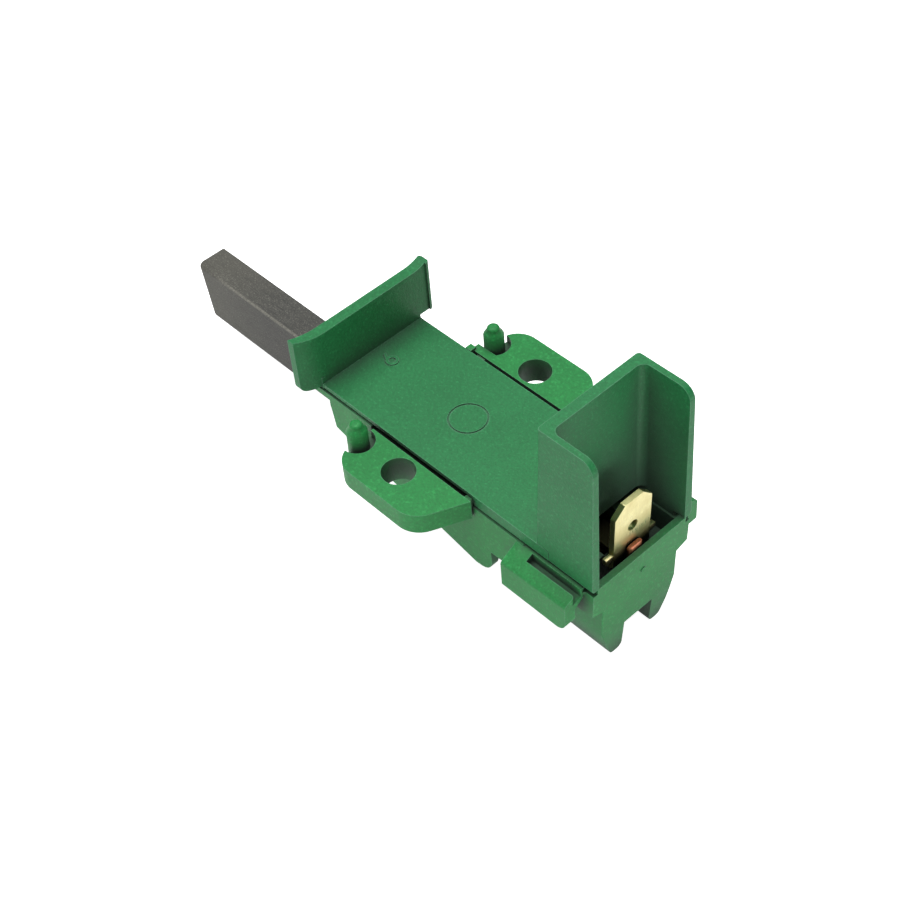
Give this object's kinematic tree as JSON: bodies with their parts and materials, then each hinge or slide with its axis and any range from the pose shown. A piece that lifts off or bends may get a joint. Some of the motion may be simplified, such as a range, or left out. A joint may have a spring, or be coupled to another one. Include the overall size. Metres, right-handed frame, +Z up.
{
  "type": "carbon brush with holder",
  "caption": "Spring-loaded carbon brush in a moulded holder with two screw ears, locating pegs, a front flange and a shrouded tab terminal.",
  "frame": {"origin": "midway between the two screw holes, on the underside of the ears", "axes": "+X along the brush from its tip to the terminal, +Y across the ears, +Z up from the ears towards the pegs and the shroud"},
  "size_m": [0.0849, 0.033, 0.0384],
  "materials": {
    "holder_green": "satin moulded, fine grain",
    "cover_green": "satin moulded, fine grain",
    "carbon": "dull pressed carbon, worn edges",
    "brass": "bright stamped strip",
    "spring_steel": "drawn wire",
    "copper": "braided bare copper"
  },
  "bodies": {
    "holder": {"holder_base": "holder_green", "terminal_cover": "cover_green", "brass_sleeve": "brass", "tab_terminal": "brass", "brush_spring": "spring_steel", "shunt_lead": "copper"},
    "brush": {"carbon_brush": "carbon"}
  },
  "joints": [
    {"name": "brush_slide", "type": "slide", "parent": "holder", "child": "brush", "axis": [1, 0, 0], "range_m": [0, 0.022], "stiffness_N_per_m": 120, "springref_m": -0.02, "deforming": ["brush_spring", "shunt_lead"]}
  ]
}
